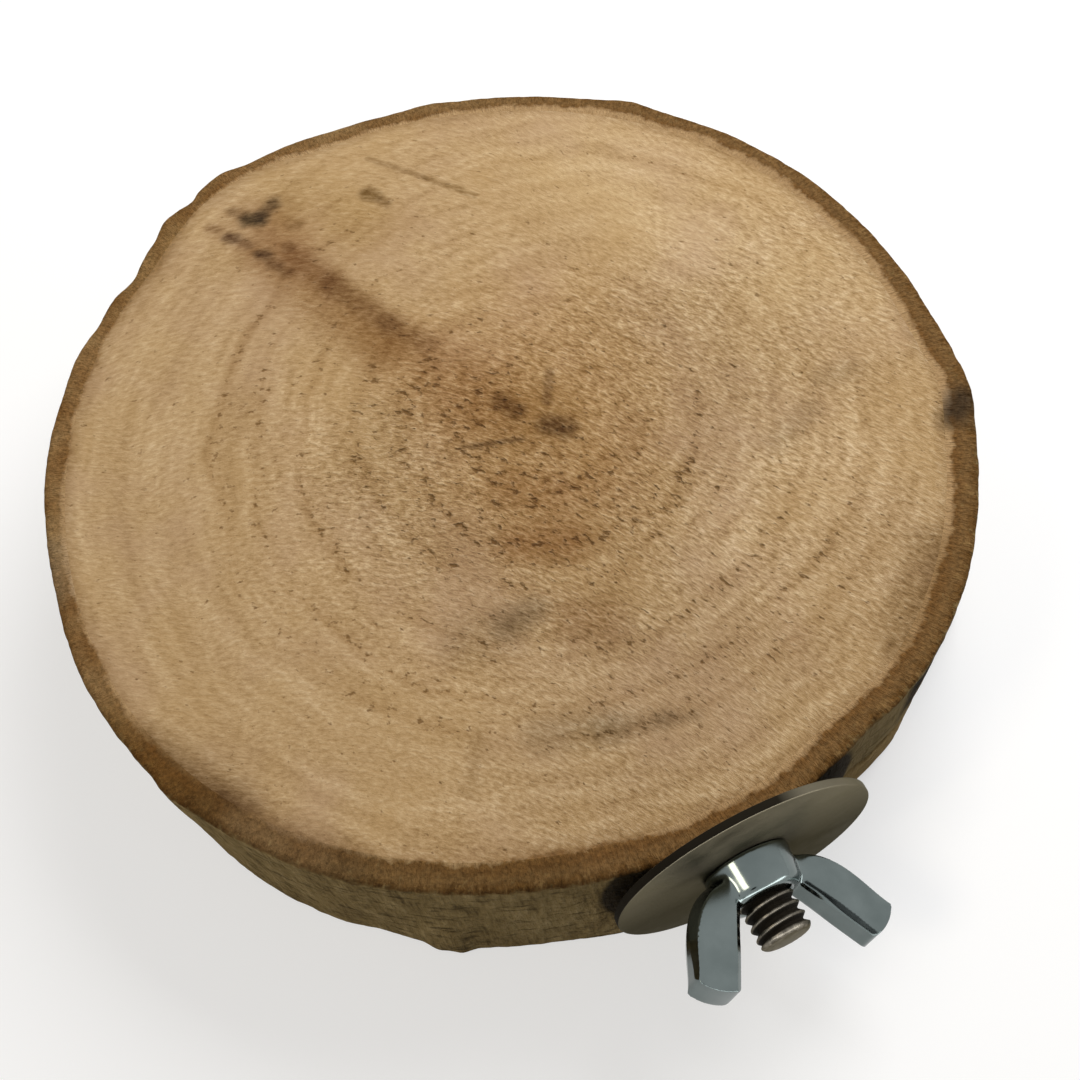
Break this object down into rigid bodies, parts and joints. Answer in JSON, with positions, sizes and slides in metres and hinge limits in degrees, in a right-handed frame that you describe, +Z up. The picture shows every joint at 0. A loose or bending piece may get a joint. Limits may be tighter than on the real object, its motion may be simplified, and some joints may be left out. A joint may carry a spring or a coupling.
{
  "type": "bird perch",
  "caption": "Round slice of log with its bark on, carried on a threaded stud; a wide washer and a wing nut clamp it to the wall of a bird cage.",
  "frame": {"origin": "on the stud's axis, where the washer's inner face lies when the nut is tight", "axes": "+Z up out of the perch's top face, -Y out along the stud through the cage wall, +Y back across the slice, +X to the right seen from the stud's end"},
  "size_m": [0.115, 0.1326, 0.0322],
  "materials": {
    "wood_end_grain": "sawn end grain, bare",
    "bark": "thin grey-brown bark, natural",
    "zinc_bolt": "zinc-plated rolled thread, dull",
    "zinc_washer": "zinc-plated sheet, dull",
    "zinc_nut": "bright zinc plate over a cold forging"
  },
  "bodies": {
    "perch": {"wood_slice": "wood_end_grain", "bark_ring": "bark", "hanger_bolt": "zinc_bolt"},
    "washer": {"fender_washer": "zinc_washer"},
    "nut": {"wing_nut": "zinc_nut"}
  },
  "joints": [
    {"name": "clamp_travel", "type": "slide", "parent": "perch", "child": "washer", "axis": [0, -1, 0], "range_m": [0, 0.00826]},
    {"name": "nut_turn", "type": "hinge", "parent": "washer", "child": "nut", "pos_m": [0, 0, 0], "axis": [0, -1, 0], "range_deg": [0, 2340]}
  ],
  "couplings": [
    {"joint": "clamp_travel", "follows": "nut_turn", "m_per_rad": 0.00020213}
  ]
}
